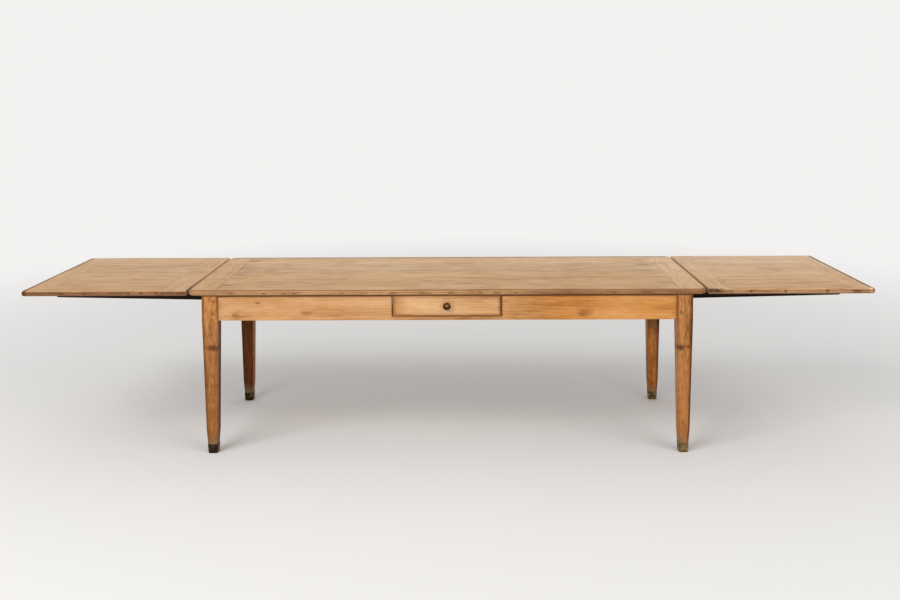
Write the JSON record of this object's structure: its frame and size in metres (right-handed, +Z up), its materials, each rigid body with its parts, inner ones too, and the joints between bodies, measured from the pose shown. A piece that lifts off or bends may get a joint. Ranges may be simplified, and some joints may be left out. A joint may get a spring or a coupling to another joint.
{
  "type": "draw leaf table",
  "caption": "Long dining table drawn open: loose moulded top on a pegged frame with tapered legs, leaves on sliding runners at both ends, and a drawer with a knob in the front apron",
  "frame": {"origin": "on the floor, under the middle of the main top", "axes": "+X along the table to the right, +Y to the back, +Z up; the drawer opens towards -Y"},
  "size_m": [3.868, 0.818, 0.76],
  "materials": {
    "top_wood_1": "waxed, worn, grain along the table",
    "top_wood_2": "waxed, worn, grain along the table",
    "top_wood_3": "waxed, worn, greyer, grain along the table",
    "top_wood_4": "waxed, worn, grain along the table",
    "top_clamp_wood": "waxed, worn, grain across the table",
    "leaf_wood_1": "waxed, worn, grain along the table",
    "leaf_wood_2": "waxed, worn, grain along the table",
    "leaf_wood_3": "waxed, worn, grain along the table",
    "leaf_wood_4": "waxed, worn, grain along the table",
    "leaf_clamp_wood": "waxed, worn, grain across the table",
    "apron_wood": "waxed, honey coloured, grain along the table",
    "drawer_front_wood": "waxed, honey coloured, grain along the table",
    "end_apron_wood": "waxed, honey coloured, grain across the table",
    "leg_wood": "waxed, upright grain, darker at the arrises",
    "runner_wood": "stained nearly black",
    "rail_wood": "bare wood, grain along the table",
    "cross_wood": "bare wood, grain across the table",
    "drawer_side_wood": "bare wood, grain front to back",
    "drawer_panel_wood": "bare wood, grain along the table",
    "peg_wood": "end grain, dark",
    "foot_brass": "tarnished nearly black, rubbed at the edges",
    "knob_bronze": "dark, rubbed bright at the middle",
    "screw_iron": "dull"
  },
  "bodies": {
    "frame": {"front_left_leg": "leg_wood", "front_left_foot_cap": "foot_brass", "front_right_leg": "leg_wood", "front_right_foot_cap": "foot_brass", "back_left_leg": "leg_wood", "back_left_foot_cap": "foot_brass", "back_right_leg": "leg_wood", "back_right_foot_cap": "foot_brass", "joint_pegs": "peg_wood", "front_apron": "apron_wood", "back_apron": "apron_wood", "left_end_apron": "end_apron_wood", "right_end_apron": "end_apron_wood", "left_drawer_runner": "cross_wood", "right_drawer_runner": "cross_wood", "front_guide_rail": "rail_wood", "back_guide_rail": "rail_wood", "centre_cross_rail": "cross_wood", "drawer_stops": "cross_wood"},
    "main_top": {"top_board_1": "top_wood_1", "top_board_2": "top_wood_2", "top_board_3": "top_wood_3", "top_board_4": "top_wood_4", "top_left_clamp": "top_clamp_wood", "top_right_clamp": "top_clamp_wood", "top_guide_pegs": "peg_wood"},
    "left_leaf": {"left_leaf_board_1": "leaf_wood_1", "left_leaf_board_2": "leaf_wood_2", "left_leaf_board_3": "leaf_wood_3", "left_leaf_board_4": "leaf_wood_4", "left_leaf_inner_clamp": "leaf_clamp_wood", "left_leaf_outer_clamp": "leaf_clamp_wood", "left_leaf_front_runner": "runner_wood", "left_leaf_back_runner": "runner_wood", "left_leaf_screws": "screw_iron"},
    "right_leaf": {"right_leaf_board_1": "leaf_wood_1", "right_leaf_board_2": "leaf_wood_2", "right_leaf_board_3": "leaf_wood_3", "right_leaf_board_4": "leaf_wood_4", "right_leaf_inner_clamp": "leaf_clamp_wood", "right_leaf_outer_clamp": "leaf_clamp_wood", "right_leaf_front_runner": "runner_wood", "right_leaf_back_runner": "runner_wood", "right_leaf_screws": "screw_iron"},
    "drawer": {"drawer_front": "drawer_front_wood", "drawer_left_side": "drawer_side_wood", "drawer_right_side": "drawer_side_wood", "drawer_back": "drawer_panel_wood", "drawer_bottom": "drawer_panel_wood", "drawer_knob": "knob_bronze", "knob_nut": "screw_iron"}
  },
  "joints": [
    {"name": "top_lift", "type": "slide", "parent": "frame", "child": "main_top", "axis": [0, 0, 1], "range_m": [0, 0.026]},
    {"name": "left_leaf_draw", "type": "slide", "parent": "frame", "child": "left_leaf", "axis": [-1, 0, 0], "range_m": [0, 0.2]},
    {"name": "right_leaf_draw", "type": "slide", "parent": "frame", "child": "right_leaf", "axis": [1, 0, 0], "range_m": [0, 0.2]},
    {"name": "drawer_slide", "type": "slide", "parent": "frame", "child": "drawer", "axis": [0, -1, 0], "range_m": [0, 0.33]}
  ]
}
